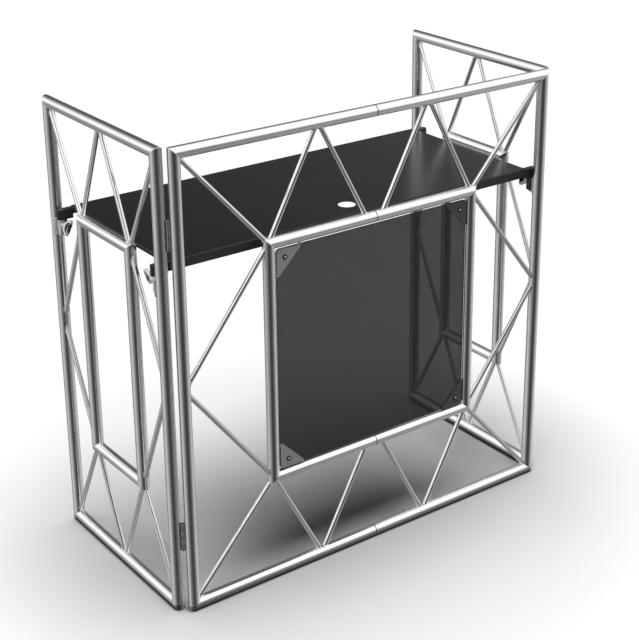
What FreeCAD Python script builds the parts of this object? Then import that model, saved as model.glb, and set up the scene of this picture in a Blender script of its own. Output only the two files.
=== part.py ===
import FreeCAD, Part

import os

from FreeCAD import Placement, Rotation, Vector

# A folding tube-truss booth: a front frame in two halves, two hinged side wings and a table.
# Millimetres, +Z up, audience side at -Y, origin on the floor under the middle of the booth.
# Left and right are as the audience sees them, so the left side is at -X.

doc = FreeCAD.newDocument("dj_booth")

# Driving dimensions
SIZES = {
    "booth_height": 1200,
    "front_width": 1124,
    "wing_depth": 525,
    "post_gap": 11,
    "tube_diameter": 30,
    "tube_wall": 2,
    "rail_inset": 272,
    "front_post_inset": 245,
    "wing_post_inset": 143,
    "seam_gap": 1,
    "lacing_diameter": 12,
    "lacing_spread": 2,
    "lacing_seam_inset": 23,
    "spigot_length": 120,
    "spigot_clearance": 0.2,
    "spigot_wall": 2.5,
    "small_screw_diameter": 5,
    "small_screw_head": 9,
    "screw_hole_clearance": 0.1,
    "panel_gap": 3,
    "panel_thickness": 4,
    "panel_forward": 2.5,
    "panel_corner_radius": 10,
    "plate_leg": 70,
    "plate_tip": 6,
    "plate_thickness": 3,
    "plate_corner_radius": 8,
    "panel_screw_inset": 23.5,
    "panel_screw_head": 13,
    "panel_screw_head_height": 3.5,
    "nut_across_corners": 9.2,
    "nut_height": 4,
    "hinge_height": 72,
    "upper_hinge_drop": 212,
    "lower_hinge_rise": 204,
    "hinge_barrel": 10.4,
    "hinge_pin": 5,
    "hinge_pin_clearance": 0.05,
    "hinge_knuckle_gap": 0.4,
    "hinge_leaf_width": 20,
    "hinge_leaf_thickness": 2.5,
    "hinge_pin_cap": 2,
    "table_drop": 0.9,
    "table_side_gap": 14,
    "table_post_gap": 3,
    "table_lip": 24,
    "table_end_lip": 9.5,
    "table_sheet": 1.5,
    "cable_hole": 46,
    "cable_hole_inset": 66.5,
    "arm_width": 18,
    "arm_past_wing": 13,
    "arm_drop": 5,
    "arm_step": 2.5,
    "bracket_leg": 38,
    "bracket_leg_thickness": 3,
    "bracket_clearance": 0.4,
    "rest_gap": 0.2,
    "saddle_height": 43,
    "saddle_width": 15,
    "saddle_depth": 16,
    "saddle_flange": 2.8,
    "wing_screw_diameter": 8,
    "wing_screw_rise": 8,
    "insert_diameter": 11,
    "insert_length": 10,
    "insert_setback": 1.1,
    "wing_screw_hub": 14,
    "wing_screw_hub_length": 12,
    "wing_lobe_radius": 8,
    "wing_lobe_offset": 13.5,
    "wing_thickness": 9,
    "wing_flare": 24,
    "arm_clearance": 6,
}

sheet = doc.addObject("Spreadsheet::Sheet", "Sizes")
for row, (alias, value) in enumerate(SIZES.items(), start=1):
    sheet.set(f"A{row}", str(value))
    sheet.setAlias(f"A{row}", alias)
doc.recompute()

# Formulas over the sheet that several pieces share
TUBE = "Sizes.tube_diameter"
TUBE_RADIUS = "(Sizes.tube_diameter / 2)"
BORE_RADIUS = "(Sizes.tube_diameter / 2 - Sizes.tube_wall)"
HINGE_OFFSET = "((Sizes.tube_diameter + Sizes.post_gap) / sqrt(2))"
POST_X = "(Sizes.front_width / 2)"
INNER_X = f"({POST_X} - Sizes.front_post_inset)"
WING_X = f"({POST_X} + {HINGE_OFFSET})"
FRONT_Y = f"(-({HINGE_OFFSET} + Sizes.wing_depth) / 2)"
WING_FRONT_Y = f"({FRONT_Y} + {HINGE_OFFSET})"
WING_REAR_Y = f"({WING_FRONT_Y} + Sizes.wing_depth)"
WING_MIDDLE_Y = f"({HINGE_OFFSET} / 2)"
INNER_FRONT_Y = f"({WING_FRONT_Y} + Sizes.wing_post_inset)"
INNER_REAR_Y = f"({WING_REAR_Y} - Sizes.wing_post_inset)"
BOTTOM_Z = TUBE_RADIUS
TOP_Z = f"(Sizes.booth_height - {TUBE_RADIUS})"
MIDDLE_Z = "(Sizes.booth_height / 2)"
INNER_TOP_Z = f"({TOP_Z} - Sizes.rail_inset)"
INNER_BOTTOM_Z = f"({BOTTOM_Z} + Sizes.rail_inset)"
SMALL_SCREW = "(Sizes.small_screw_diameter / 2)"
SMALL_HOLE = "(Sizes.small_screw_diameter / 2 + Sizes.screw_hole_clearance)"
HINGE_X = f"({POST_X} + {HINGE_OFFSET} / 2)"
HINGE_Y = f"({FRONT_Y} + {HINGE_OFFSET} / 2)"
TABLE_END_X = f"({WING_X} - {TUBE_RADIUS} - Sizes.table_side_gap)"
TABLE_FRONT_Y = f"({WING_FRONT_Y} + {TUBE_RADIUS} + Sizes.table_post_gap)"
TABLE_SURFACE = f"({INNER_TOP_Z} - Sizes.table_drop)"
TABLE_UNDERSIDE = f"({TABLE_SURFACE} - Sizes.table_lip)"
ARM_UNDERSIDE = f"({TABLE_UNDERSIDE} - Sizes.arm_drop)"
SADDLE_Z = f"({ARM_UNDERSIDE} - Sizes.rest_gap - Sizes.saddle_height / 2)"
SCREW_Z = f"({SADDLE_Z} + Sizes.wing_screw_rise)"

RIGHTWARDS = Vector(1, 0, 0)
REARWARDS = Vector(0, 1, 0)
UPWARDS = Vector(0, 0, 1)

# How far the wings of the front and rear thumb screws lean outwards from upright
FRONT_SCREW_LEAN = 18
REAR_SCREW_LEAN = -25

nodes = []


def bound(kind, name, **formulas):
    """Add a document object and tie its properties to formulas over the sheet."""
    thing = doc.addObject(kind, name)
    for prop, formula in formulas.items():
        thing.setExpression(prop, formula)
    return thing


def place(thing, x="0", y="0", z="0", turn=Rotation()):
    """Turn an object and tie its position to formulas."""
    thing.Placement = Placement(Vector(), turn)
    for axis, formula in zip("xyz", (x, y, z)):
        thing.setExpression(f"Placement.Base.{axis}", formula)
    return thing


def node(thing, label):
    """Name an object as one sub-part of the booth."""
    thing.Label = label
    nodes.append(thing)
    return thing


def cut(base, tool):
    """The base with the tool taken away."""
    thing = doc.addObject("Part::Cut", base.Name + "_cut")
    thing.Base = base
    thing.Tool = tool
    return thing


def common(base, tool):
    """What the base and the tool share."""
    thing = doc.addObject("Part::Common", base.Name + "_common")
    thing.Base = base
    thing.Tool = tool
    return thing


def fuse(*things):
    """Several pieces joined into one solid."""
    thing = doc.addObject("Part::MultiFuse", things[0].Name + "_joined")
    thing.Shapes = list(things)
    thing.Refine = True
    return thing


def group(*things):
    """Several separate solids in one shape."""
    thing = doc.addObject("Part::Compound", things[0].Name + "_group")
    thing.Links = list(things)
    return thing


def mirrored(source, normal=RIGHTWARDS, **base):
    """A mirror copy, across the middle of the booth unless told otherwise."""
    thing = doc.addObject("Part::Mirroring", source.Name + "_mirrored")
    thing.Source = source
    thing.Normal = normal
    thing.Base = Vector()
    for axis, formula in base.items():
        thing.setExpression(f"Base.{axis}", formula)
    return thing


def cylinder(name, radius, height, x="0", y="0", z="0", along=UPWARDS):
    """A cylinder that starts at a point and runs along a direction."""
    thing = bound("Part::Cylinder", name, Radius=radius, Height=height)
    return place(thing, x, y, z, Rotation(UPWARDS, along))


def box(name, size, x="0", y="0", z="0", turn=Rotation()):
    """A box from its lowest corner."""
    length, width, height = size
    thing = bound("Part::Box", name, Length=length, Width=width, Height=height)
    return place(thing, x, y, z, turn)


# Frame tubes

def tube(label, start, axis, inside, length, square_end=False, drills=()):
    """A frame tube from corner to corner, mitred where it meets the next tube of its rectangle.

    Returns the hollow tube and the solid rod of the same outline, which trims what lands on it.
    """
    outer_end = length if square_end else f"{length} + {TUBE}"
    inner_end = length if square_end else f"{length} - {TUBE}"
    run = f"{length} + 2 * {TUBE}"
    bar = cylinder(label + "_bar", TUBE_RADIUS, run, z=f"-{TUBE}")
    mitres = bound(
        "Part::Wedge", label + "_mitres",
        Xmin=f"-{TUBE}", Xmax=TUBE, X2min=f"-{TUBE}", X2max=TUBE,
        Ymin=f"-{TUBE}", Ymax=TUBE,
        Zmin=f"-{TUBE}", Zmax=outer_end, Z2min=TUBE, Z2max=inner_end,
    )
    turn = Rotation(inside.cross(axis), inside, axis, "ZYX")
    rod = place(common(bar, mitres), *start, turn)
    bore_start = [f"{at} - {step:g} * {TUBE}" for at, step in zip(start, axis)]
    bore = cylinder(label + "_bore", BORE_RADIUS, run, *bore_start, axis)
    hollow = fuse(bore, *drills) if drills else bore
    return node(cut(rod, hollow), label), rod


def seam_drill(name, z):
    """The hole for a spigot screw, in the rear wall of a rail near the seam."""
    return cylinder(name, SMALL_HOLE, TUBE, "-Sizes.spigot_length / 4", FRONT_Y, z, REARWARDS)


def front_half():
    """The left half of the front frame and its mirror copy."""
    half_run = f"({POST_X} - Sizes.seam_gap / 2)"
    inner_half_run = f"({INNER_X} - Sizes.seam_gap / 2)"
    full_rise = f"({TOP_Z} - {BOTTOM_Z})"
    inner_rise = f"({INNER_TOP_Z} - {INNER_BOTTOM_Z})"
    upright = [
        ("front_post", POST_X, BOTTOM_Z, full_rise),
        ("panel_post", INNER_X, INNER_BOTTOM_Z, inner_rise),
    ]
    level = [
        ("front_top_rail", POST_X, TOP_Z, -UPWARDS, half_run),
        ("front_bottom_rail", POST_X, BOTTOM_Z, UPWARDS, half_run),
        ("panel_top_rail", INNER_X, INNER_TOP_Z, -UPWARDS, inner_half_run),
        ("panel_bottom_rail", INNER_X, INNER_BOTTOM_Z, UPWARDS, inner_half_run),
    ]
    tubes = []
    rods = {}
    for name, x, z, rise in upright:
        piece, rods[name] = tube("left_" + name, (f"-{x}", FRONT_Y, z), UPWARDS, RIGHTWARDS, rise)
        tubes.append((name, piece))
    for name, x, z, inside, run in level:
        drill = seam_drill(name + "_drill", z)
        piece, rods[name] = tube(
            "left_" + name, (f"-{x}", FRONT_Y, z), RIGHTWARDS, inside, run, True, [drill])
        tubes.append((name, piece))
    for name, piece in tubes:
        node(mirrored(piece), "right_" + name)
    return rods


def wing_drill(name, y, inward):
    """The hole for a threaded insert in a wing post, on the side that faces the other post."""
    return cylinder(name, "Sizes.insert_diameter / 2", TUBE, f"-{WING_X}", y, SCREW_Z, inward)


def wing():
    """The left wing's two rectangles and their mirror copies."""
    full_rise = f"({TOP_Z} - {BOTTOM_Z})"
    inner_rise = f"({INNER_TOP_Z} - {INNER_BOTTOM_Z})"
    inner_depth = f"({INNER_REAR_Y} - {INNER_FRONT_Y})"
    front_drill = wing_drill("front_insert_drill", WING_FRONT_Y, REARWARDS)
    rear_drill = wing_drill("rear_insert_drill", WING_REAR_Y, -REARWARDS)
    members = [
        ("front_post", WING_FRONT_Y, BOTTOM_Z, UPWARDS, REARWARDS, full_rise, [front_drill]),
        ("rear_post", WING_REAR_Y, BOTTOM_Z, UPWARDS, -REARWARDS, full_rise, [rear_drill]),
        ("top_rail", WING_FRONT_Y, TOP_Z, REARWARDS, -UPWARDS, "Sizes.wing_depth", []),
        ("bottom_rail", WING_FRONT_Y, BOTTOM_Z, REARWARDS, UPWARDS, "Sizes.wing_depth", []),
        ("inner_front_post", INNER_FRONT_Y, INNER_BOTTOM_Z, UPWARDS, REARWARDS, inner_rise, []),
        ("inner_rear_post", INNER_REAR_Y, INNER_BOTTOM_Z, UPWARDS, -REARWARDS, inner_rise, []),
        ("inner_top_rail", INNER_FRONT_Y, INNER_TOP_Z, REARWARDS, -UPWARDS, inner_depth, []),
        ("inner_bottom_rail", INNER_FRONT_Y, INNER_BOTTOM_Z, REARWARDS, UPWARDS, inner_depth, []),
    ]
    rods = {}
    for name, y, z, axis, inside, length, drills in members:
        piece, rods[name] = tube(
            "left_wing_" + name, (f"-{WING_X}", y, z), axis, inside, length, False, drills)
        node(mirrored(piece), "right_wing_" + name)
    return rods


# Lacing bars between the outer and inner rectangles

def lacing_bar(name, start, run, rise, swing):
    """A round bar that leaves a point by so much across and so much up in its frame's plane."""
    bar = bound(
        "Part::Cylinder", name,
        Radius="Sizes.lacing_diameter / 2", Height=f"sqrt(({run}) ^ 2 + ({rise}) ^ 2)")
    place(bar, *start, Rotation(swing, 1))
    bar.setExpression("Placement.Rotation.Angle", f"atan2({run}; {rise})")
    return bar


def front_lacing(rods):
    """Zigzag bars of the left front half, trimmed to the tubes, and their mirror copy."""
    rail_node = f"(({INNER_X} + Sizes.lacing_seam_inset) / 2)"
    spread = "Sizes.lacing_spread"
    seam_x = "Sizes.lacing_seam_inset"
    bars = []
    for end, corner_z, inner_z in (("top", TOP_Z, INNER_TOP_Z), ("bottom", BOTTOM_Z, INNER_BOTTOM_Z)):
        climb = f"({corner_z} - {inner_z})"
        runs = [
            ("corner", INNER_X, f"-({POST_X} - {INNER_X})", climb),
            ("rail", INNER_X, f"({INNER_X} - {rail_node} - {spread})", climb),
            ("seam", seam_x, f"-({rail_node} - {seam_x} - {spread})", climb),
            ("side", INNER_X, f"-({POST_X} - {INNER_X})", f"({MIDDLE_Z} - {inner_z})"),
        ]
        for name, x, run, rise in runs:
            start = (f"-{x}", FRONT_Y, inner_z)
            bars.append(lacing_bar(f"front_{end}_{name}_bar", start, run, rise, REARWARDS))
    trimmed = node(cut(group(*bars), fuse(*rods.values())), "left_front_lacing")
    node(mirrored(trimmed), "right_front_lacing")


def wing_lacing(rods):
    """Zigzag bars of the left wing, trimmed to the tubes, and their mirror copy."""
    spread = "Sizes.lacing_spread"
    bars = []
    for end, corner_z, inner_z in (("top", TOP_Z, INNER_TOP_Z), ("bottom", BOTTOM_Z, INNER_BOTTOM_Z)):
        climb = f"({corner_z} - {inner_z})"
        for side, post_y, inner_y, outward in (
            ("front", WING_FRONT_Y, INNER_FRONT_Y, "-1"),
            ("rear", WING_REAR_Y, INNER_REAR_Y, "1"),
        ):
            reach = f"({post_y} - {inner_y})"
            runs = [
                ("corner", reach, climb),
                ("rail", f"({WING_MIDDLE_Y} + {outward} * {spread} - {inner_y})", climb),
                ("side", reach, f"({MIDDLE_Z} - {inner_z})"),
            ]
            for name, run, rise in runs:
                start = (f"-{WING_X}", inner_y, inner_z)
                bars.append(lacing_bar(f"wing_{end}_{side}_{name}_bar", start, run, rise, -RIGHTWARDS))
    trimmed = node(cut(group(*bars), fuse(*rods.values())), "left_wing_lacing")
    node(mirrored(trimmed), "right_wing_lacing")


# Spigots that join the two front halves

def spigots():
    """A sleeve inside each rail at the seam, and the screws that hold it from behind."""
    start = "-Sizes.spigot_length / 2"
    radius = f"({BORE_RADIUS} - Sizes.spigot_clearance)"
    sleeves = []
    screws = []
    for number, z in enumerate((TOP_Z, INNER_TOP_Z, INNER_BOTTOM_Z, BOTTOM_Z), start=1):
        core = cylinder(f"spigot_{number}", radius, "Sizes.spigot_length", start, FRONT_Y, z, RIGHTWARDS)
        hollow = cylinder(
            f"spigot_bore_{number}", f"{radius} - Sizes.spigot_wall", "Sizes.spigot_length",
            start, FRONT_Y, z, RIGHTWARDS)
        tools = [hollow]
        for side, sign in (("left", "-1"), ("right", "1")):
            x = f"{sign} * Sizes.spigot_length / 4"
            tap = f"spigot_{side}_tap_{number}"
            tools.append(cylinder(tap, SMALL_HOLE, TUBE, x, FRONT_Y, z, REARWARDS))
            head_y = f"{FRONT_Y} + {TUBE_RADIUS}"
            grip = f"({TUBE_RADIUS} / 2)"
            shank = cylinder(
                f"spigot_{side}_shank_{number}", SMALL_SCREW, grip, x, f"{head_y} - {grip}", z, REARWARDS)
            head = cylinder(
                f"spigot_{side}_head_{number}", "Sizes.small_screw_head / 2", SMALL_SCREW,
                x, head_y, z, REARWARDS)
            screws.append(fuse(shank, head))
        sleeves.append(cut(core, fuse(*tools)))
    node(group(*sleeves), "rail_spigots")
    node(group(*screws), "spigot_screws")


# Smoked panel, its corner plates and fixings

PANEL_EDGE_X = f"({INNER_X} - {TUBE_RADIUS} - Sizes.panel_gap)"
PANEL_TOP_Z = f"({INNER_TOP_Z} - {TUBE_RADIUS} - Sizes.panel_gap)"
PANEL_BOTTOM_Z = f"({INNER_BOTTOM_Z} + {TUBE_RADIUS} + Sizes.panel_gap)"
PANEL_FRONT_Y = f"({FRONT_Y} - Sizes.panel_thickness / 2 - Sizes.panel_forward)"
PLATE_FRONT_Y = f"({PANEL_FRONT_Y} - Sizes.plate_thickness)"
PANEL_SCREW_X = f"({PANEL_EDGE_X} - Sizes.panel_screw_inset)"
PANEL_SCREW_Z = f"({PANEL_TOP_Z} - Sizes.panel_screw_inset)"


def four_corners(thing):
    """A piece at the upper left of the panel and its three mirror copies."""
    lower = mirrored(thing, UPWARDS, z=MIDDLE_Z)
    return [thing, lower, mirrored(thing), mirrored(lower)]


def panel():
    """The sheet in the middle of the front frame, with rounded corners and a hole in each."""
    radius = "Sizes.panel_corner_radius"
    thickness = "Sizes.panel_thickness"
    width = f"2 * {PANEL_EDGE_X}"
    height = f"({PANEL_TOP_Z} - {PANEL_BOTTOM_Z})"
    wide = box(
        "panel_wide", (width, thickness, f"{height} - 2 * {radius}"),
        f"-{PANEL_EDGE_X}", PANEL_FRONT_Y, f"{PANEL_BOTTOM_Z} + {radius}")
    tall = box(
        "panel_tall", (f"{width} - 2 * {radius}", thickness, height),
        f"-{PANEL_EDGE_X} + {radius}", PANEL_FRONT_Y, PANEL_BOTTOM_Z)
    corner = cylinder(
        "panel_corner", radius, thickness,
        f"-{PANEL_EDGE_X} + {radius}", PANEL_FRONT_Y, f"{PANEL_TOP_Z} - {radius}", REARWARDS)
    hole = cylinder(
        "panel_hole", SMALL_HOLE, thickness,
        f"-{PANEL_SCREW_X}", PANEL_FRONT_Y, PANEL_SCREW_Z, REARWARDS)
    sheet_shape = fuse(wide, tall, *four_corners(corner))
    node(cut(sheet_shape, group(*four_corners(hole))), "smoked_panel")


def corner_plates(rods):
    """Three-sided plates in front of the panel corners, welded to the tubes by a tab at each tip."""
    leg = "Sizes.plate_leg"
    tip = "Sizes.plate_tip"
    thickness = "Sizes.plate_thickness"
    radius = "Sizes.plate_corner_radius"
    tab = f"Sizes.panel_gap + {TUBE_RADIUS} + {tip}"
    corner_x = f"-{PANEL_EDGE_X}"
    downward = Rotation(RIGHTWARDS, -90)
    slope = bound(
        "Part::Wedge", "plate_slope",
        Xmin="0", Xmax=f"{leg} + {tip}", X2min="0", X2max=tip,
        Ymin="0", Ymax=leg,
        Zmin="0", Zmax=thickness, Z2min="0", Z2max=thickness)
    place(slope, corner_x, PLATE_FRONT_Y, PANEL_TOP_Z, downward)
    square = box("plate_square", (leg, leg, thickness), corner_x, PLATE_FRONT_Y, PANEL_TOP_Z, downward)
    upper_tab = box(
        "plate_upper_tab", (tip, thickness, tab),
        f"{corner_x} + {leg} - {tip}", PLATE_FRONT_Y, f"{PANEL_TOP_Z} - {tip}")
    side_tab = box(
        "plate_side_tab", (tab, thickness, tip),
        f"-{INNER_X}", PLATE_FRONT_Y, f"{PANEL_TOP_Z} - {leg}")
    notch = cut(
        box("plate_notch", (radius, radius, thickness), corner_x, PLATE_FRONT_Y, PANEL_TOP_Z, downward),
        cylinder(
            "plate_round", radius, thickness,
            f"{corner_x} + {radius}", PLATE_FRONT_Y, f"{PANEL_TOP_Z} - {radius}", REARWARDS))
    hole = cylinder(
        "plate_hole", SMALL_HOLE, thickness,
        f"-{PANEL_SCREW_X}", PLATE_FRONT_Y, PANEL_SCREW_Z, REARWARDS)
    blank = fuse(common(slope, square), upper_tab, side_tab)
    tools = fuse(notch, hole, rods["panel_top_rail"], rods["panel_post"])
    node(group(*four_corners(cut(blank, tools))), "corner_plates")


def panel_fixings():
    """A screw through each corner plate and the panel, with a nut behind."""
    head_height = "Sizes.panel_screw_head_height"
    panel_back_y = f"({PANEL_FRONT_Y} + Sizes.panel_thickness)"
    grip = "Sizes.plate_thickness + Sizes.panel_thickness + 1.5 * Sizes.nut_height"
    shank = cylinder(
        "panel_screw_shank", SMALL_SCREW, grip,
        f"-{PANEL_SCREW_X}", PLATE_FRONT_Y, PANEL_SCREW_Z, REARWARDS)
    head = cylinder(
        "panel_screw_head", "Sizes.panel_screw_head / 2", head_height,
        f"-{PANEL_SCREW_X}", f"{PLATE_FRONT_Y} - {head_height}", PANEL_SCREW_Z, REARWARDS)
    node(group(*four_corners(fuse(shank, head))), "panel_screws")
    hexagon = bound(
        "Part::Prism", "panel_nut",
        Circumradius="Sizes.nut_across_corners / 2", Height="Sizes.nut_height")
    place(hexagon, f"-{PANEL_SCREW_X}", panel_back_y, PANEL_SCREW_Z, Rotation(UPWARDS, REARWARDS))
    thread = cylinder(
        "panel_nut_thread", SMALL_HOLE, "Sizes.nut_height",
        f"-{PANEL_SCREW_X}", panel_back_y, PANEL_SCREW_Z, REARWARDS)
    node(group(*four_corners(cut(hexagon, thread))), "panel_nuts")


# Hinges between the front posts and the wings

KNUCKLE = "(Sizes.hinge_height / 3)"
BARREL_RADIUS = "(Sizes.hinge_barrel / 2)"
HINGE_PIN_RADIUS = "(Sizes.hinge_pin / 2)"


def hinge_cylinder(name, radius, low, height):
    """A cylinder on the left hinge axis."""
    return cylinder(name, radius, height, f"-{HINGE_X}", HINGE_Y, low)


def hinge(name, level, front_post, wing_post):
    """One three-knuckle hinge: the frame's leaf, the wing's leaf and the pin."""
    gap = "Sizes.hinge_knuckle_gap"
    leaf_width = "Sizes.hinge_leaf_width"
    leaf_thickness = "Sizes.hinge_leaf_thickness"
    cap = "Sizes.hinge_pin_cap"
    height = "Sizes.hinge_height"
    low = f"({level} - {height} / 2)"
    middle_low = f"({level} - {KNUCKLE} / 2)"
    middle_high = f"({level} + {KNUCKLE} / 2)"
    room = f"{BARREL_RADIUS} + {gap}"
    hole_radius = f"{HINGE_PIN_RADIUS} + Sizes.hinge_pin_clearance"

    frame_plate = box(
        name + "_frame_plate", (leaf_width, leaf_thickness, height),
        f"-{HINGE_X}", f"{HINGE_Y} - {leaf_thickness} / 2", low)
    frame_barrel = hinge_cylinder(name + "_frame_barrel", BARREL_RADIUS, low, height)
    frame_tools = fuse(
        hinge_cylinder(name + "_frame_hole", hole_radius, low, height),
        hinge_cylinder(name + "_middle_room", room, middle_low, KNUCKLE),
        front_post)
    frame_leaf = cut(fuse(frame_plate, frame_barrel), frame_tools)

    wing_plate = box(
        name + "_wing_plate", (leaf_thickness, leaf_width, height),
        f"-{HINGE_X} - {leaf_thickness} / 2", HINGE_Y, low)
    wing_barrel = hinge_cylinder(
        name + "_wing_barrel", BARREL_RADIUS, f"{middle_low} + {gap}", f"{KNUCKLE} - 2 * {gap}")
    wing_tools = fuse(
        hinge_cylinder(name + "_wing_hole", hole_radius, low, height),
        hinge_cylinder(name + "_lower_room", room, f"{low} - {gap}", f"{KNUCKLE} + 2 * {gap}"),
        hinge_cylinder(name + "_upper_room", room, f"{middle_high} - {gap}", f"{KNUCKLE} + 2 * {gap}"),
        wing_post)
    wing_leaf = cut(fuse(wing_plate, wing_barrel), wing_tools)

    pin = fuse(
        hinge_cylinder(name + "_pin", HINGE_PIN_RADIUS, f"{low} - {cap}", f"{height} + 2 * {cap}"),
        hinge_cylinder(name + "_lower_cap", BARREL_RADIUS, f"{low} - {cap}", cap),
        hinge_cylinder(name + "_upper_cap", BARREL_RADIUS, f"{low} + {height}", cap))
    return frame_leaf, wing_leaf, pin


def hinges(front_post, wing_post):
    """Two hinges on the left side and their mirror copies."""
    upper_level = "(Sizes.booth_height - Sizes.upper_hinge_drop)"
    upper = hinge("upper_hinge", upper_level, front_post, wing_post)
    lower = hinge("lower_hinge", "Sizes.lower_hinge_rise", front_post, wing_post)
    for name, pair in zip(("hinge_frame_leaves", "hinge_wing_leaves", "hinge_pins"), zip(upper, lower)):
        left = node(group(*pair), "left_" + name)
        node(mirrored(left), "right_" + name)


# Saddles on the wing posts, their threaded inserts and thumb screws

SADDLE_REACH = f"({TUBE_RADIUS} + Sizes.saddle_depth)"
SADDLE_LOW = f"({SADDLE_Z} - Sizes.saddle_height / 2)"
THREAD_RADIUS = "(Sizes.wing_screw_diameter / 2)"
THREAD_HOLE = "(Sizes.wing_screw_diameter / 2 + Sizes.screw_hole_clearance)"


def front_and_rear(thing):
    """A piece on the front post of the left wing and its mirror copy on the rear post."""
    return [thing, mirrored(thing, REARWARDS, y=WING_MIDDLE_Y)]


def both_wings(thing, name):
    """A left wing piece as a node, with its mirror copy on the right wing."""
    node(thing, "left_" + name)
    node(mirrored(thing), "right_" + name)


def saddles():
    """A boss on a curved flange that carries the table's arm on each wing post."""
    height = "Sizes.saddle_height"
    flange_radius = f"({TUBE_RADIUS} + Sizes.saddle_flange)"
    boss = box(
        "saddle_boss", ("Sizes.saddle_width", SADDLE_REACH, height),
        f"-{WING_X} - Sizes.saddle_width / 2", WING_FRONT_Y, SADDLE_LOW)
    ring = cylinder("saddle_ring", flange_radius, height, f"-{WING_X}", WING_FRONT_Y, SADDLE_LOW)
    inner_side = box(
        "saddle_inner_side", (f"2 * {TUBE}", TUBE, height),
        f"-{WING_X} - {TUBE}", f"{WING_FRONT_Y} + Sizes.saddle_flange", SADDLE_LOW)
    post = cylinder("saddle_post", TUBE_RADIUS, height, f"-{WING_X}", WING_FRONT_Y, SADDLE_LOW)
    hole = cylinder(
        "saddle_hole", THREAD_HOLE, SADDLE_REACH, f"-{WING_X}", WING_FRONT_Y, SCREW_Z, REARWARDS)
    both_wings(group(*front_and_rear(cut(boss, fuse(ring, hole)))), "wing_saddles")
    both_wings(group(*front_and_rear(cut(common(ring, inner_side), fuse(post, hole)))), "saddle_flanges")


def inserts():
    """A threaded sleeve in the wall of each wing post, behind the saddle."""
    start = f"{WING_FRONT_Y} + {TUBE_RADIUS} - Sizes.insert_setback - Sizes.insert_length"
    sleeve = cylinder(
        "insert_sleeve", "Sizes.insert_diameter / 2 - Sizes.screw_hole_clearance", "Sizes.insert_length",
        f"-{WING_X}", start, SCREW_Z, REARWARDS)
    thread = cylinder(
        "insert_thread", THREAD_HOLE, "Sizes.insert_length", f"-{WING_X}", start, SCREW_Z, REARWARDS)
    both_wings(group(*front_and_rear(cut(sleeve, thread))), "wing_inserts")


def wing_screw(end, lean):
    """A thumb screw with two flared wings, through the front saddle of the left wing into its insert."""
    hub_start = f"({SADDLE_REACH} + Sizes.rest_gap)"
    hub_length = "Sizes.wing_screw_hub_length"
    root = "Sizes.wing_screw_hub / 2"
    thickness = "Sizes.wing_thickness"
    lobe_radius = "Sizes.wing_lobe_radius"
    lobe_offset = "Sizes.wing_lobe_offset"
    flare_start = f"({hub_start} + Sizes.arm_clearance)"
    flare_end = f"({flare_start} + Sizes.wing_flare)"
    shank_start = f"({TUBE_RADIUS} - Sizes.insert_setback - Sizes.insert_length)"
    shank = cylinder(
        end + "_screw_shank", THREAD_RADIUS, f"{hub_start} - {shank_start}", y=shank_start, along=REARWARDS)
    hub = cylinder(end + "_screw_hub", root, hub_length, y=hub_start, along=REARWARDS)
    flare = bound(
        "Part::Wedge", end + "_screw_flare",
        Xmin=f"-{thickness} / 2", Xmax=f"{thickness} / 2",
        X2min=f"-{thickness} / 2", X2max=f"{thickness} / 2",
        Ymin=flare_start, Ymax=flare_end,
        Zmin=f"-{root}", Zmax=root,
        Z2min=f"-{lobe_offset} - {lobe_radius}", Z2max=f"{lobe_offset} + {lobe_radius}")
    lobes = [
        cylinder(
            f"{end}_screw_{name}_lobe", lobe_radius, thickness,
            f"-{thickness} / 2", flare_end, f"{sign} * {lobe_offset}", RIGHTWARDS)
        for name, sign in (("low", "-1"), ("high", "1"))
    ]
    valley = cylinder(
        end + "_screw_valley", f"{lobe_offset} - {lobe_radius} / 4", f"2 * {thickness}",
        f"-{thickness}", f"{flare_end} + {lobe_radius} / 2", along=RIGHTWARDS)
    screw = fuse(shank, hub, cut(fuse(flare, *lobes), valley))
    return place(screw, f"-{WING_X}", WING_FRONT_Y, SCREW_Z, Rotation(REARWARDS, -lean))


def wing_screws():
    """A thumb screw for each saddle; the rear ones are turned otherwise than the front ones."""
    both_wings(wing_screw("front", FRONT_SCREW_LEAN), "front_wing_screw")
    rear = mirrored(wing_screw("rear", REAR_SCREW_LEAN), REARWARDS, y=WING_MIDDLE_Y)
    both_wings(rear, "rear_wing_screw")


# Table and its four brackets

TABLE_DEPTH = f"(Sizes.wing_depth - {TUBE} - 2 * Sizes.table_post_gap)"
ARM_MIDDLE_Y = f"({TABLE_FRONT_Y} + Sizes.arm_width / 2)"


def four_brackets(thing):
    """A piece at the front left of the table and its mirror copies at the other three corners."""
    left = front_and_rear(thing)
    return left + [mirrored(copy) for copy in left]


def table():
    """A sheet folded down to long lips and shorter end lips, with a cable hole near its front edge."""
    sheet_thickness = "Sizes.table_sheet"
    inner_depth = f"{TABLE_DEPTH} - 2 * {sheet_thickness}"
    inner_front = f"{TABLE_FRONT_Y} + {sheet_thickness}"
    blank = box(
        "table_blank", (f"2 * {TABLE_END_X}", TABLE_DEPTH, "Sizes.table_lip"),
        f"-{TABLE_END_X}", TABLE_FRONT_Y, TABLE_UNDERSIDE)
    hollow = box(
        "table_hollow",
        (f"2 * ({TABLE_END_X} - {sheet_thickness})", inner_depth, f"Sizes.table_lip - {sheet_thickness}"),
        f"-{TABLE_END_X} + {sheet_thickness}", inner_front, TABLE_UNDERSIDE)
    below_ends = box(
        "table_below_ends", (f"2 * {TABLE_END_X}", inner_depth, "Sizes.table_lip - Sizes.table_end_lip"),
        f"-{TABLE_END_X}", inner_front, TABLE_UNDERSIDE)
    cable_hole = cylinder(
        "table_cable_hole", "Sizes.cable_hole / 2", "Sizes.table_lip",
        "0", f"{TABLE_FRONT_Y} + Sizes.cable_hole_inset", TABLE_UNDERSIDE)
    node(cut(blank, fuse(hollow, below_ends, cable_hole)), "table_top")


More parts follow.
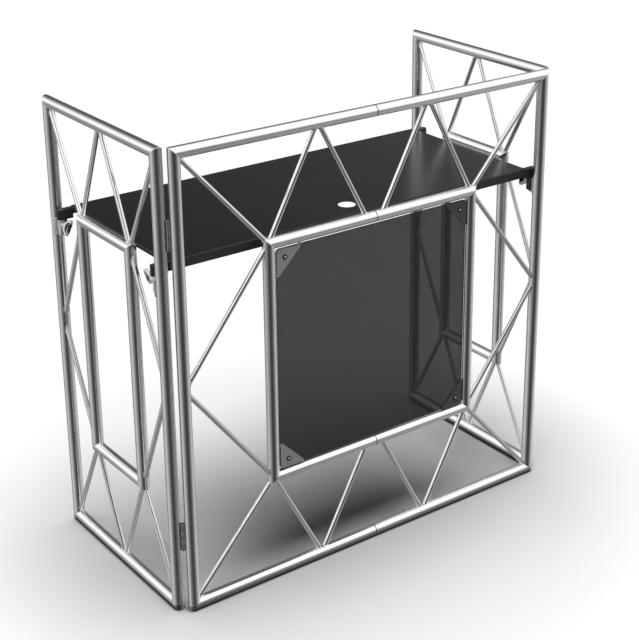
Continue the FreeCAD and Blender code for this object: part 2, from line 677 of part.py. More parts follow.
def brackets():
    """Arms welded to the end lips, each with a plate below that hooks inside its saddle."""
    width = "Sizes.arm_width"
    depth = "(Sizes.table_lip + Sizes.arm_drop - Sizes.arm_step)"
    nose_x = f"-({WING_X} + Sizes.arm_past_wing - {width} / 2)"
    leg_x = f"-({WING_X} - Sizes.saddle_width / 2 - Sizes.bracket_clearance)"
    beam = box(
        "bracket_beam", (f"-{nose_x} - {TABLE_END_X}", width, depth),
        nose_x, TABLE_FRONT_Y, ARM_UNDERSIDE)
    nose = cylinder("bracket_nose", f"{width} / 2", depth, nose_x, ARM_MIDDLE_Y, ARM_UNDERSIDE)
    leg = box(
        "bracket_leg", ("Sizes.bracket_leg_thickness", width, "Sizes.bracket_leg"),
        leg_x, TABLE_FRONT_Y, f"{ARM_UNDERSIDE} - Sizes.bracket_leg")
    node(group(*four_brackets(fuse(beam, nose))), "table_brackets")
    node(group(*four_brackets(leg)), "bracket_legs")


front_rods = front_half()
wing_rods = wing()
front_lacing(front_rods)
wing_lacing(wing_rods)
spigots()
panel()
corner_plates(front_rods)
panel_fixings()
hinges(front_rods["front_post"], wing_rods["front_post"])
saddles()
inserts()
wing_screws()
table()
brackets()

doc.recompute()

# Every object must have built before any file is written
for thing in doc.Objects:
    if "Invalid" in thing.State or "Error" in thing.State:
        raise RuntimeError(f"{thing.Name} did not build: {thing.State}")
for piece in nodes:
    if piece.Shape.isNull() or not piece.Shape.isValid():
        raise RuntimeError(f"{piece.Label} has no sound shape")

os.makedirs("parts", exist_ok=True)
for piece in nodes:
    piece.Shape.exportStep(f"parts/{piece.Label}.step")
    print(piece.Label, len(piece.Shape.Solids), round(piece.Shape.Volume))
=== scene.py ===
import math

import bmesh
import bpy
import numpy as np
from mathutils import Matrix, Vector
from mathutils.bvhtree import BVHTree


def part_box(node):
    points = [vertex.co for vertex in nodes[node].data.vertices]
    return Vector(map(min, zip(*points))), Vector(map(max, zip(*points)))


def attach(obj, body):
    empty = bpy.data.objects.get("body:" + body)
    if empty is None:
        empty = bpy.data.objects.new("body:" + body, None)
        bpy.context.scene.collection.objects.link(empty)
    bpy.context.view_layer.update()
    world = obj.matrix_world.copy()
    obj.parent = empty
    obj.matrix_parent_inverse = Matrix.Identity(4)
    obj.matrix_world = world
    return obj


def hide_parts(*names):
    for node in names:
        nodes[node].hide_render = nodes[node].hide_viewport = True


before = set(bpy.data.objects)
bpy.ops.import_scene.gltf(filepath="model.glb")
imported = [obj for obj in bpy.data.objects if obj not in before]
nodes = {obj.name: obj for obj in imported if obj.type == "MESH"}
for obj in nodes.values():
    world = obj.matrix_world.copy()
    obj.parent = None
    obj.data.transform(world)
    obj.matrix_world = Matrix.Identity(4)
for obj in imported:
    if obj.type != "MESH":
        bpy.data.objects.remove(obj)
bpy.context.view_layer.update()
scene = bpy.context.scene
scene.view_settings.view_transform = "Standard"

MM = 0.001
X_AXIS = Vector((1, 0, 0))
Y_AXIS = Vector((0, 1, 0))
Z_AXIS = Vector((0, 0, 1))
SIDES = {"left": -1, "right": 1}


# Camera at the photograph's viewing angle

IMAGE_SIZE = 640
FOCAL_PIXELS = 1482.92
CAMERA_PLACE = Vector((-2.12759, -3.00966, 2.17014))
CAMERA_TURN = math.radians(-37.444)
CAMERA_DROP = math.radians(20.444)
CAMERA_SHIFT_X = -0.068
CAMERA_SHIFT_Y = -0.14265
SENSOR_WIDTH = 36.0


def add_camera():
    """The camera looks down on the booth's left front corner."""
    data = bpy.data.cameras.new("camera")
    data.sensor_width = SENSOR_WIDTH
    data.lens = SENSOR_WIDTH * FOCAL_PIXELS / IMAGE_SIZE
    data.shift_x = CAMERA_SHIFT_X
    data.shift_y = CAMERA_SHIFT_Y
    camera = bpy.data.objects.new("camera", data)
    look_down = Matrix.Rotation(math.pi / 2 - CAMERA_DROP, 4, "X")
    turn = Matrix.Rotation(CAMERA_TURN, 4, "Z")
    camera.matrix_world = Matrix.Translation(CAMERA_PLACE) @ turn @ look_down
    scene.collection.objects.link(camera)
    scene.camera = camera


# Node tree helpers

# Most of a noise texture lies between these two values
TEXTURE_LOW = 0.3
TEXTURE_HIGH = 0.7
NOISE_DETAIL = 3.0
# Where a mix node keeps its colours
MIX_FIRST = 6
MIX_SECOND = 7
MIX_RESULT = 2


def fill(tree, socket, value):
    """Set an input to a constant, or link it to another node's output."""
    if isinstance(value, bpy.types.NodeSocket):
        tree.links.new(value, socket)
    else:
        socket.default_value = value


def add_node(tree, kind, **settings):
    """A shader node with its named inputs and settings filled in."""
    node = tree.nodes.new(kind)
    for key, value in settings.items():
        label = key.replace("_", " ")
        if label in node.inputs:
            fill(tree, node.inputs[label], value)
        else:
            setattr(node, key, value)
    return node


def new_material(name, **settings):
    """A material whose main shader has the given constant inputs."""
    material = bpy.data.materials.new(name)
    material.use_nodes = True
    tree = material.node_tree
    shader = tree.nodes["Principled BSDF"]
    for key, value in settings.items():
        shader.inputs[key.replace("_", " ")].default_value = value
    return material, tree, shader


def feed(tree, shader, colour, roughness):
    """Give the main shader its colour and roughness."""
    tree.links.new(colour, shader.inputs["Base Color"])
    tree.links.new(roughness, shader.inputs["Roughness"])


def grey(value):
    """An even grey as a colour."""
    return (value, value, value, 1.0)


def own_place(tree):
    """A point's place in the object's own coordinates."""
    return add_node(tree, "ShaderNodeTexCoord").outputs["Object"]


def noise(tree, scale, stretch=(1, 1, 1)):
    """Noise over the object's own coordinates, scale in steps per metre."""
    mapping = add_node(tree, "ShaderNodeMapping", Vector=own_place(tree), Scale=stretch)
    stretched = mapping.outputs["Vector"]
    texture = add_node(tree, "ShaderNodeTexNoise", Vector=stretched, Scale=scale, Detail=NOISE_DETAIL)
    return texture.outputs["Fac"]


def map_range(tree, source, low, high, limits=(0.0, 1.0), shape="LINEAR"):
    """A value carried over from one range to another."""
    change = add_node(
        tree, "ShaderNodeMapRange", interpolation_type=shape, Value=source,
        From_Min=low, From_Max=high, To_Min=limits[0], To_Max=limits[1])
    return change.outputs["Result"]


def grey_ramp(tree, source, stops):
    """Greys at the given positions along a value."""
    ramp = add_node(tree, "ShaderNodeValToRGB", Fac=source)
    elements = ramp.color_ramp.elements
    while len(elements) < len(stops):
        elements.new(0.5)
    for element, (position, value) in zip(elements, stops):
        element.position = position
        element.color = grey(value)
    return ramp.outputs["Color"]


def spread(tree, source, limits):
    """A value between two limits that follows a texture."""
    return map_range(tree, source, TEXTURE_LOW, TEXTURE_HIGH, limits)


def tint(tree, source, tone):
    """A grey between two tones that follows a texture."""
    return grey_ramp(tree, source, ((TEXTURE_LOW, tone[0]), (TEXTURE_HIGH, tone[1])))


def along_axis(tree, axis, low, high):
    """A value that rises from 0 to 1 along one of the object's axes, between two places in metres."""
    split = add_node(tree, "ShaderNodeSeparateXYZ", Vector=own_place(tree))
    return map_range(tree, split.outputs[axis], low, high)


def mix(tree, share, first, second, blend_type="MIX"):
    """Two colours put together, with a share for the second."""
    blend = add_node(tree, "ShaderNodeMix", data_type="RGBA", blend_type=blend_type, Factor=share)
    fill(tree, blend.inputs[MIX_FIRST], first)
    fill(tree, blend.inputs[MIX_SECOND], second)
    return blend.outputs[MIX_RESULT]


def deepen(tree, colour, share):
    """A colour multiplied by a share."""
    return mix(tree, 1.0, colour, share, "MULTIPLY")


def bump(tree, shader, source, depth):
    """Fine relief, depth in metres."""
    relief = add_node(tree, "ShaderNodeBump", Height=source, Distance=depth)
    tree.links.new(relief.outputs["Normal"], shader.inputs["Normal"])


# Materials: a tone or a roughness is a pair of ends, a texture's fineness is in steps per metre

DRAWN_LINES = 900
DRAWN_STRETCH = 0.02
SMUDGES = 14
TUBE_TONE = (0.88, 0.94)
TUBE_ROUGH = (0.12, 0.19)
# Painted shade: tubes darken over their lowest 10 to 20 mm, standing in for the shadowed floor they
# reflect
FOOT_LOW = 10 * MM
FOOT_HIGH = 20 * MM
FOOT_PAINTED_SHADE = 0.34
GRAIN_PER_PATCH = 20
CAST_PEBBLES = 260
CAST_PATCHES = 90
CAST_DEPTH = 0.6 * MM
CAST_TONE = (0.72, 0.92)
CAST_ROUGH = (0.5, 0.65)
ACRYLIC_IOR = 1.49
ACRYLIC_HAZE = 9
ACRYLIC_TONE = (0.046, 0.05)
ACRYLIC_ROUGH = (0.0, 0.012)
PAINT_GRAIN = 1100
PAINT_PATCHES = 12
PAINT_DEPTH = 0.04 * MM
PLATE_GRAIN = 900
# Painted light across the corner plates: the tone runs from light on the left to dark on the right over
# this span
PLATE_PAINTED_SHADE_SPAN = 0.3
PLATE_PAINTED_SHADE_TONE = (0.245, 0.048)
PLATE_ROUGH = (0.4, 0.52)


def drawn_aluminium(name, along):
    """Polished tube with faint lines along the way it was drawn, dull smudges, and painted shade
    darkening its foot to stand for the shadowed floor it reflects.
    """
    material, tree, shader = new_material(name, Metallic=1.0)
    stretch = tuple(DRAWN_STRETCH if axis == along else 1.0 for axis in "xyz")
    lines = noise(tree, DRAWN_LINES, stretch)
    metal = tint(tree, noise(tree, SMUDGES), TUBE_TONE)
    # Painted shade: a darker base colour near the floor, for the shadowed floor reflected there
    foot_shade_mask = spread(tree, along_axis(tree, "Z", FOOT_LOW, FOOT_HIGH), (0.0, 1.0))
    foot = tint(tree, foot_shade_mask, (FOOT_PAINTED_SHADE, 1.0))
    feed(tree, shader, deepen(tree, metal, foot), spread(tree, lines, TUBE_ROUGH))
    return material


def patchy_metal(name, tone, rough, scale=60):
    """Metal with soft patches of sheen."""
    material, tree, shader = new_material(name, Metallic=1.0)
    patches = noise(tree, scale)
    grain = noise(tree, scale * GRAIN_PER_PATCH)
    feed(tree, shader, tint(tree, patches, tone), spread(tree, grain, rough))
    return material


def cast_metal():
    """Tumbled casting with a fine pebbled skin."""
    material, tree, shader = new_material("cast_metal", Metallic=1.0)
    patches = noise(tree, CAST_PATCHES)
    feed(tree, shader, tint(tree, patches, CAST_TONE), spread(tree, patches, CAST_ROUGH))
    bump(tree, shader, noise(tree, CAST_PEBBLES), CAST_DEPTH)
    return material


def smoked_acrylic():
    """Dark see-through sheet with a faint haze."""
    material, tree, shader = new_material("smoked_acrylic", Transmission_Weight=1.0, IOR=ACRYLIC_IOR)
    haze = noise(tree, ACRYLIC_HAZE)
    feed(tree, shader, tint(tree, haze, ACRYLIC_TONE), spread(tree, haze, ACRYLIC_ROUGH))
    return material


def satin_paint(name, tone, rough):
    """Powder coat: an even tone with a fine orange-peel grain."""
    material, tree, shader = new_material(name)
    grain = noise(tree, PAINT_GRAIN)
    patches = noise(tree, PAINT_PATCHES)
    feed(tree, shader, tint(tree, patches, tone), spread(tree, grain, rough))
    bump(tree, shader, grain, PAINT_DEPTH)
    return material


def plate_grey():
    """Satin grey with painted light: lighter on the left-hand plates and darker towards the right-hand
    ones, as the plates catch the light differently.
    """
    material, tree, shader = new_material("plate_grey")
    grain = noise(tree, PLATE_GRAIN)
    painted_shade_rightwards = along_axis(tree, "X", -PLATE_PAINTED_SHADE_SPAN, PLATE_PAINTED_SHADE_SPAN)
    feed(tree, shader, tint(tree, painted_shade_rightwards, PLATE_PAINTED_SHADE_TONE), spread(tree, grain, PLATE_ROUGH))
    bump(tree, shader, grain, PAINT_DEPTH)
    return material


TUBE_METAL = {axis: drawn_aluminium(f"tube_along_{axis}", axis) for axis in "xyz"}
LACING_METAL = patchy_metal("lacing_aluminium", tone=(0.84, 0.92), rough=(0.1, 0.17))
WELD_METAL = patchy_metal("weld_bead", tone=(0.66, 0.8), rough=(0.24, 0.36), scale=200)
# Painted shade: the spigots are darker than bare aluminium, as they show only in the shaded seam gaps
SHADED_SPIGOT_METAL = patchy_metal("spigot_aluminium", tone=(0.2, 0.3), rough=(0.4, 0.55))
# Painted shade: the seams' cut ends are made dark to stand for the shade in the seam gap
SEAM_END_PAINTED_SHADE = patchy_metal("seam_end_painted_shade", tone=(0.05, 0.1), rough=(0.45, 0.6), scale=200)
STEEL = patchy_metal("fastener_steel", tone=(0.62, 0.74), rough=(0.16, 0.3), scale=120)
HINGE_STEEL = patchy_metal("hinge_steel", tone=(0.45, 0.75), rough=(0.2, 0.32), scale=260)
PIN_STEEL = patchy_metal("pin_steel", tone=(0.2, 0.3), rough=(0.3, 0.42), scale=90)
CASTING = cast_metal()
ACRYLIC = smoked_acrylic()
SAWN_EDGE = satin_paint("sawn_edge", tone=(0.01, 0.018), rough=(0.35, 0.5))
PLATE_PAINT_WITH_PAINTED_SHADE = plate_grey()
TABLE_PAINT = satin_paint("table_black", tone=(0.004, 0.006), rough=(0.2, 0.26))
# Painted light: the lips and bends get a lighter copy of the table's black, to match the tone of the lit
# top
LIP_PAINTED_LIGHT = satin_paint("lip_black_painted_light", tone=(0.021, 0.026), rough=(0.5, 0.6))
BLACK_PAINT = satin_paint("bracket_black", tone=(0.012, 0.018), rough=(0.4, 0.52))
RUBBER = satin_paint("washer_black", tone=(0.01, 0.016), rough=(0.5, 0.65))


# Mesh helpers

SHARP = math.radians(32)
FLAT_ENOUGH = 0.99
LATHE_STEPS = 32
CORNER_STEPS = 6


def join(shape, part, place=Matrix(), material=0):
    """Add a part to a shape, moved into place, and free the part."""
    part.transform(place)
    for face in part.faces:
        face.material_index = material
    mesh = bpy.data.meshes.new("part")
    part.to_mesh(mesh)
    part.free()
    shape.from_mesh(mesh)
    bpy.data.meshes.remove(mesh)


def add_piece(name, shape, materials, body, slot, *solids):
    """A named piece that rides on a body and stands for the given solids."""
    bmesh.ops.recalc_face_normals(shape, faces=shape.faces)
    for face in shape.faces:
        face.smooth = True
    for edge in shape.edges:
        edge.smooth = edge.calc_face_angle(0.0) < SHARP
    mesh = bpy.data.meshes.new(name)
    shape.to_mesh(mesh)
    shape.free()
    for material in materials:
        mesh.materials.append(material)
    piece = bpy.data.objects.new(name, mesh)
    scene.collection.objects.link(piece)
    shading = piece.modifiers.new("even_shading", "WEIGHTED_NORMAL")
    shading.keep_sharp = True
    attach(piece, body)
    if solids:
        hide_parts(*solids)


def skin(part, rings, closed=False):
    """Quads between rings of the same count; a closed skin joins the last ring to the first."""
    pairs = list(zip(rings, rings[1:]))
    if closed:
        pairs.append((rings[-1], rings[0]))
    for low, high in pairs:
        for step in range(len(low)):
            part.faces.new((low[step - 1], low[step], high[step], high[step - 1]))


def lathe(profile, count=LATHE_STEPS):
    """A turned part about its Z axis from (radius, height) rows; a third value gives a row flat sides."""
    part = bmesh.new()
    rings = []
    for radius, height, *sides in profile:
        ring = []
        for step in range(count):
            angle = 2 * math.pi * step / count
            reach = radius
            if sides:
                wedge = 2 * math.pi / sides[0]
                reach = radius / math.cos(angle % wedge - wedge / 2)
            ring.append(part.verts.new((reach * math.cos(angle), reach * math.sin(angle), height)))
        rings.append(ring)
    skin(part, rings)
    part.faces.new(rings[0])
    part.faces.new(rings[-1])
    return part


def turned_rows(radius, *rows, base=0.0):
    """Rows for a lathe from (inset from the radius, height above the base) pairs in millimetres."""
    return [(radius - inset * MM, base + height * MM) for inset, height in rows]


def prism(outline, depth, edge, segments=3):
    """An outline in X and Y, raised along Z, with rounded edges."""
    part = bmesh.new()
    low = [part.verts.new((x, y, 0)) for x, y in outline]
    high = [part.verts.new((x, y, depth)) for x, y in outline]
    skin(part, [low, high])
    part.faces.new(low)
    part.faces.new(high)
    bmesh.ops.recalc_face_normals(part, faces=part.faces)
    rim = [line for line in part.edges if line.calc_face_angle(0.0) > SHARP]
    bmesh.ops.bevel(part, geom=rim, offset=edge, segments=segments, profile=0.5, affect="EDGES")
    return part


def arc(centre, radius, start, end, steps):
    """Points on an arc, angles in degrees."""
    angles = [math.radians(start + (end - start) * step / steps) for step in range(steps + 1)]
    return [(centre[0] + radius * math.cos(a), centre[1] + radius * math.sin(a)) for a in angles]


def rounded_rectangle(low, high, radius, steps=CORNER_STEPS):
    """A rectangle's outline with round corners."""
    corners = (
        (high[0] - radius, high[1] - radius, 0), (low[0] + radius, high[1] - radius, 90),
        (low[0] + radius, low[1] + radius, 180), (high[0] - radius, low[1] + radius, 270))
    points = []
    for x, y, start in corners:
        points += arc((x, y), radius, start, start + 90, steps)
    return points


def axes(place, x, y, z):
    """A placement from its origin and its three axes."""
    columns = (x, y, z, place)
    rows = [[column[row] for column in columns] for row in range(3)]
    return Matrix(rows + [[0, 0, 0, 1]])


# Tubes of the front frame and the wings

TUBE_STEPS = 64
TUBE_WALL = 2 * MM
SEAM_GROOVE = 0.35 * MM
SEAM_WIDTH = 0.7 * MM
END_CHAMFER = 1.0 * MM
FRONT_RAILS = ("front_top_rail", "front_bottom_rail", "panel_top_rail", "panel_bottom_rail")
FRONT_POSTS = ("front_post", "panel_post")
WING_POSTS = ("wing_front_post", "wing_rear_post", "wing_inner_front_post", "wing_inner_rear_post")
WING_RAILS = ("wing_top_rail", "wing_bottom_rail", "wing_inner_top_rail", "wing_inner_bottom_rail")


def wing_middle_y():
    """Half way between a wing's front and rear posts."""
    front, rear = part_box("left_wing_front_post"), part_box("left_wing_rear_post")
    return (front[0].y + rear[1].y) / 2


def tube(node, axis, inward, square_low=False, square_high=False):
    """A hollow tube whose mitred ends are longer on the outside of the frame, with a seam at each end;
    square ends carry painted shade for the seam gap.
    """
    low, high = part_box(node)
    length_axis = "xyz".index(axis)
    side = inward.cross((X_AXIS, Y_AXIS, Z_AXIS)[length_axis])
    centre = (low + high) / 2
    start, end = low[length_axis], high[length_axis]
    radius = (high - low).dot(Vector([abs(v) for v in inward])) / 2
    part = bmesh.new()

    def ring(wall_radius, from_low, setback):
        points = []
        square = square_low if from_low else square_high
        for step in range(TUBE_STEPS):
            angle = 2 * math.pi * step / TUBE_STEPS
            inward_share = math.cos(angle)
            depth = setback
            if not square:
                depth += radius + inward_share * wall_radius
            point = centre + (inward * inward_share + side * math.sin(angle)) * wall_radius
            point[length_axis] = start + depth if from_low else end - depth
            points.append(part.verts.new(point))
        return points

    inner = radius - TUBE_WALL
    low_groove = radius - (END_CHAMFER if square_low else SEAM_GROOVE)
    high_groove = radius - (END_CHAMFER if square_high else SEAM_GROOVE)
    rings = [
        ring(inner, True, 0), ring(low_groove, True, 0), ring(radius, True, SEAM_WIDTH),
        ring(radius, False, SEAM_WIDTH), ring(high_groove, False, 0), ring(inner, False, 0)]
    skin(part, rings, closed=True)
    # Faces at a square end take the second material, dark painted shade for the seam gap
    for face in part.faces:
        places = [vert.co[length_axis] for vert in face.verts]
        if square_low and max(places) < start + 2 * SEAM_WIDTH:
            face.material_index = 1
        if square_high and min(places) > end - 2 * SEAM_WIDTH:
            face.material_index = 1
    return part


def add_tubes():
    """Every round tube, each standing for its own solid."""
    trees = {"front_frame": [], "left_wing": [], "right_wing": []}

    def add(node, axis, inward, body, **ends):
        shape = tube(node, axis, inward, **ends)
        trees[body].append(BVHTree.FromBMesh(shape))
        materials = [TUBE_METAL[axis]]
        if ends:
            materials.append(SEAM_END_PAINTED_SHADE)
        add_piece(f"{node}_tube", shape, materials, body, "tube_aluminium", node)

    middle_y = wing_middle_y()
    for side, sign in SIDES.items():
        for rail in FRONT_RAILS:
            inward = -Z_AXIS if "top" in rail else Z_AXIS
            add(f"{side}_{rail}", "x", inward, "front_frame", square_low=sign > 0, square_high=sign < 0)
        for post in FRONT_POSTS:
            add(f"{side}_{post}", "z", -sign * X_AXIS, "front_frame")
        for rail in WING_RAILS:
            inward = -Z_AXIS if "top" in rail else Z_AXIS
            add(f"{side}_{rail}", "y", inward, f"{side}_wing")
        for post in WING_POSTS:
            inward = Y_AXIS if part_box(f"{side}_{post}")[0].y < middle_y else -Y_AXIS
            add(f"{side}_{post}", "z", inward, f"{side}_wing")
    return trees


# Lacing bars, shaped to the tubes they meet, with a weld bead round each end

BAR_STEPS = 48
BAR_OVERLAP = 0.3 * MM
BEAD_RADIUS = 1.5 * MM
BEAD_RIPPLE = 0.14
BEAD_RIPPLES = 16
BEAD_STEPS = 6
END_SEARCH = 30 * MM
MERGE_DISTANCE = 0.001 * MM


def islands(node):
    """The separate solids of a node, as lists of faces."""
    shape = bmesh.new()
    shape.from_mesh(nodes[node].data)
    bmesh.ops.remove_doubles(shape, verts=shape.verts, dist=MERGE_DISTANCE)
    waiting = set(shape.faces)
    found = []
    while waiting:
        group = [waiting.pop()]
        for face in group:
            for edge in face.edges:
                for other in edge.link_faces:
                    if other in waiting:
                        waiting.remove(other)
                        group.append(other)
        found.append(group)
    return shape, found


def bar_line(faces):
    """A straight bar's middle, direction, side, radius and half length, from the faces of its solid."""
    points = np.array([vert.co for face in faces for vert in face.verts])
    turns = np.zeros((3, 3))
    for face in faces:
        normal = np.array(face.normal)
        turns += face.calc_area() ** 2 * np.outer(normal, normal)
    directions = np.linalg.eigh(turns)[1]
    spans = points @ directions
    low, high = spans.min(0), spans.max(0)
    middle = directions @ ((low + high) / 2)
    radius = (high[1] - low[1]) / 2
    half_length = (high[0] - low[0]) / 2
    return Vector(middle), Vector(directions[:, 0]), Vector(directions[:, 1]), radius, half_length


def reach_tube(trees, origin, direction, fallback):
    """How far a line runs before it meets a tube, and the tube's normal there."""
    best = (fallback, -direction)
    limit = fallback + END_SEARCH
    for tree in trees:
        hit = tree.ray_cast(origin, direction, limit)
        if hit[0] is not None and hit[3] < limit:
            limit = hit[3]
            best = (hit[3], hit[1])
    return best


def weld_bead(path, normals, outward):
    """A rippled bead along a closed path in the corner between a bar and a tube."""
    part = bmesh.new()
    rings = []
    count = len(path)
    for step, point in enumerate(path):
        along = (path[(step + 1) % count] - path[step - 1]).normalized()
        across = (outward[step] + normals[step]).normalized()
        third = along.cross(across).normalized()
        swell = 1 + BEAD_RIPPLE * math.sin(2 * math.pi * BEAD_RIPPLES * step / count)
        ring = []
        for turn in range(BEAD_STEPS):
            angle = 2 * math.pi * turn / BEAD_STEPS
            offset = across * math.cos(angle) + third * math.sin(angle)
            ring.append(part.verts.new(point + offset * BEAD_RADIUS * swell))
        rings.append(ring)
    skin(part, rings, closed=True)
    return part


def lacing_bar(faces, trees):
    """One bar with both ends fitted to the tubes, and its two weld beads."""
    middle, direction, side, radius, half = bar_line(faces)
    across = direction.cross(side)
    bar = bmesh.new()
    rings = []
    beads = []
    for sense in (-1, 1):
        ring = []
        path = []
        normals = []
        outward = []
        for step in range(BAR_STEPS):
            angle = 2 * math.pi * step / BAR_STEPS
            arm = side * math.cos(angle) + across * math.sin(angle)
            start = middle + arm * radius
            distance, normal = reach_tube(trees, start, direction * sense, half)
            path.append(start + direction * sense * distance)
            normals.append(normal)
            outward.append(arm)
            ring.append(bar.verts.new(start + direction * sense * (distance + BAR_OVERLAP)))
        rings.append(ring)
        beads.append(weld_bead(path, normals, outward))
    skin(bar, rings)
    bar.faces.new(rings[0])
    bar.faces.new(rings[1])
    return bar, beads


def add_lacing(trees):
    """The zigzag of bars in each half of the front frame and in each wing."""
    places = [(f"{side}_front_lacing", "front_frame") for side in SIDES]
    places += [(f"{side}_wing_lacing", f"{side}_wing") for side in SIDES]
    for node, body in places:
        shape = bmesh.new()
        source, found = islands(node)
        for faces in found:
            bar, beads = lacing_bar(faces, trees[body])
            join(shape, bar)
            for bead in beads:
                join(shape, bead, material=1)
        source.free()
        add_piece(f"{node}_bars", shape, [LACING_METAL, WELD_METAL], body, "tube_aluminium", node)


# Smoked panel, corner plates and their screws

PANEL_CORNER = 10 * MM
PANEL_EDGE = 0.5 * MM
PLATE_LEG = 70 * MM
PLATE_TIP = 6 * MM
PLATE_CORNER = 8 * MM
PLATE_EDGE = 0.4 * MM
TAB_OVERLAP = 0.6 * MM
SCREW_INSET = 23.5 * MM
WASHER_RADIUS = 6.5 * MM
HEAD_RADIUS = 3.4 * MM
HEAD_SOCKET = 1.0 * MM
HEAD_STEPS = 36
SHANK_RADIUS = 2.5 * MM
NUT_FLATS = 8 * MM
NUT_CHAMFER = 0.12
NUT_MOUTH = 0.62
NUT_BORE = 0.55
NUT_BORE_END = 0.85
SPIGOT_HEAD_RADIUS = 4.5 * MM
SPIGOT_HEAD_HEIGHT = 2.5 * MM
SPIGOT_SOCKET = 1.5 * MM
SOCKET_RIM = 0.3 * MM
HEXAGON = 6


def facing_front(place, right=1, up=1):
    """A placement whose X runs along the front, Y up and Z to the rear."""
    return axes(place, X_AXIS * right, Z_AXIS * up, Y_AXIS)


def add_panel():
    """The sheet with round corners and softened edges, sawn dull all round."""
    low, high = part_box("smoked_panel")
    outline = rounded_rectangle((low.x, low.z), (high.x, high.z), PANEL_CORNER)
    shape = bmesh.new()
    place = facing_front(Vector((0, low.y, 0)))
    join(shape, prism(outline, high.y - low.y, PANEL_EDGE, segments=2), place)
    shape.normal_update()
    for face in shape.faces:
        face.material_index = 0 if abs(face.normal.y) > FLAT_ENOUGH else 1
    materials = [ACRYLIC, SAWN_EDGE]
    add_piece("smoked_panel_sheet", shape, materials, "front_frame", "smoked_acrylic", "smoked_panel")


def panel_corners():
    """The panel's corners in X and Z, with the signs that point outwards."""
    low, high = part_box("smoked_panel")
    columns = ((low.x, -1), (high.x, 1))
    rows = ((low.z, -1), (high.z, 1))
    return [(x, z, right, up) for x, right in columns for z, up in rows]


def add_corner_plates():
    """Three-sided plates with a tab from each tip to the tubes."""
    low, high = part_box("corner_plates")
    tab = high.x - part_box("smoked_panel")[1].x + TAB_OVERLAP
    reach = PLATE_LEG - PLATE_TIP
    outline = arc((PLATE_CORNER, PLATE_CORNER), PLATE_CORNER, 180, 270, CORNER_STEPS)
    outline += [(reach, 0), (reach, -tab), (PLATE_LEG, -tab), (PLATE_LEG, PLATE_TIP)]
    outline += [(PLATE_TIP, PLATE_LEG), (-tab, PLATE_LEG), (-tab, reach), (0, reach)]
    shape = bmesh.new()
    for x, z, right, up in panel_corners():
        place = facing_front(Vector((x, low.y, z)), -right, -up)
        join(shape, prism(outline, high.y - low.y, PLATE_EDGE, segments=2), place)
    add_piece("corner_plates_cut", shape, [PLATE_PAINT_WITH_PAINTED_SHADE], "front_frame", "plate_grey", "corner_plates")


def screw_places():
    """Where the panel screws stand, in X and Z."""
    return [(x - right * SCREW_INSET, z - up * SCREW_INSET) for x, z, right, up in panel_corners()]


def facing_rear(place):
    """A placement for turned parts whose Z runs to the rear."""
    return axes(place, X_AXIS, -Z_AXIS, Y_AXIS)


def hexagon_socket(radius, top, lead, depth):
    """The last rows of a screw head: a hexagon socket sunk in its top."""
    rim = (radius + SOCKET_RIM, top)
    return [rim, (radius, top - lead, HEXAGON), (radius, top - depth, HEXAGON)]


def add_panel_screws():
    """Button screws with a hexagon socket, on black cup washers."""
    low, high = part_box("panel_screws")
    plate_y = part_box("corner_plates")[0].y
    height = plate_y - low.y
    washer = turned_rows(
        WASHER_RADIUS, (0.5, 0), (0, 0.3), (0, 1.2), (0.8, 2.2), (1.9, 2.5), (2.3, 2.0), (2.5, 1.2))
    head = turned_rows(HEAD_RADIUS, (0, 0.6), (0, 1.2), (0.3, 1.9))
    head += turned_rows(HEAD_RADIUS, (0.8, -0.8), (1.5, -0.25), base=height)
    head += hexagon_socket(HEAD_SOCKET, height, lead=0.15 * MM, depth=1.2 * MM)
    shank = turned_rows(SHANK_RADIUS, (0, -0.5))
    shank += turned_rows(SHANK_RADIUS, (0, -0.8), (0.8, 0), base=high.y - plate_y)
    washers = bmesh.new()
    screws = bmesh.new()
    for x, z in screw_places():
        place = Vector((x, plate_y, z))
        facing_out = axes(place, X_AXIS, Z_AXIS, -Y_AXIS)
        join(washers, lathe(washer), facing_out)
        join(screws, lathe(head, HEAD_STEPS), facing_out)
        join(screws, lathe(shank), facing_rear(place))
    add_piece("panel_washers", washers, [RUBBER], "front_frame", "screw_steel")
    add_piece("panel_screw_heads", screws, [STEEL], "front_frame", "screw_steel", "panel_screws")


def add_panel_nuts():
    """A hexagon nut with turned corners behind the panel at each screw."""
    low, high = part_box("panel_nuts")
    height = high.y - low.y
    flat = NUT_FLATS / 2
    end = flat - NUT_CHAMFER * NUT_FLATS / 3
    nut = [
        (end, 0), (flat, NUT_CHAMFER * height, HEXAGON), (flat, (1 - NUT_CHAMFER) * height, HEXAGON),
        (end, height), (NUT_MOUTH * flat, height), (NUT_BORE * flat, NUT_BORE_END * height)]
    shape = bmesh.new()
    for x, z in screw_places():
        join(shape, lathe(nut, HEAD_STEPS), facing_rear(Vector((x, low.y, z))))
    add_piece("panel_hex_nuts", shape, [STEEL], "front_frame", "screw_steel", "panel_nuts")


def add_spigot_screws():
    """Button screws at the back of the rails, beside the seam."""
    shape = bmesh.new()
    source, found = islands("spigot_screws")
    head = turned_rows(SPIGOT_HEAD_RADIUS, (0, -1.2), (0, 0.8), (0.7, 1.7), (1.8, 2.3))
    head += hexagon_socket(SPIGOT_SOCKET, SPIGOT_HEAD_HEIGHT, lead=0.2 * MM, depth=1.5 * MM)
    for faces in found:
        points = np.array([vert.co for face in faces for vert in face.verts])
        low, high = points.min(0), points.max(0)
        middle = (low + high) / 2
        place = Vector((middle[0], high[1] - SPIGOT_HEAD_HEIGHT, middle[2]))
        join(shape, lathe(head, HEAD_STEPS), facing_rear(place))
    source.free()
    add_piece("spigot_screw_heads", shape, [STEEL], "front_frame", "screw_steel", "spigot_screws")


# Hinges

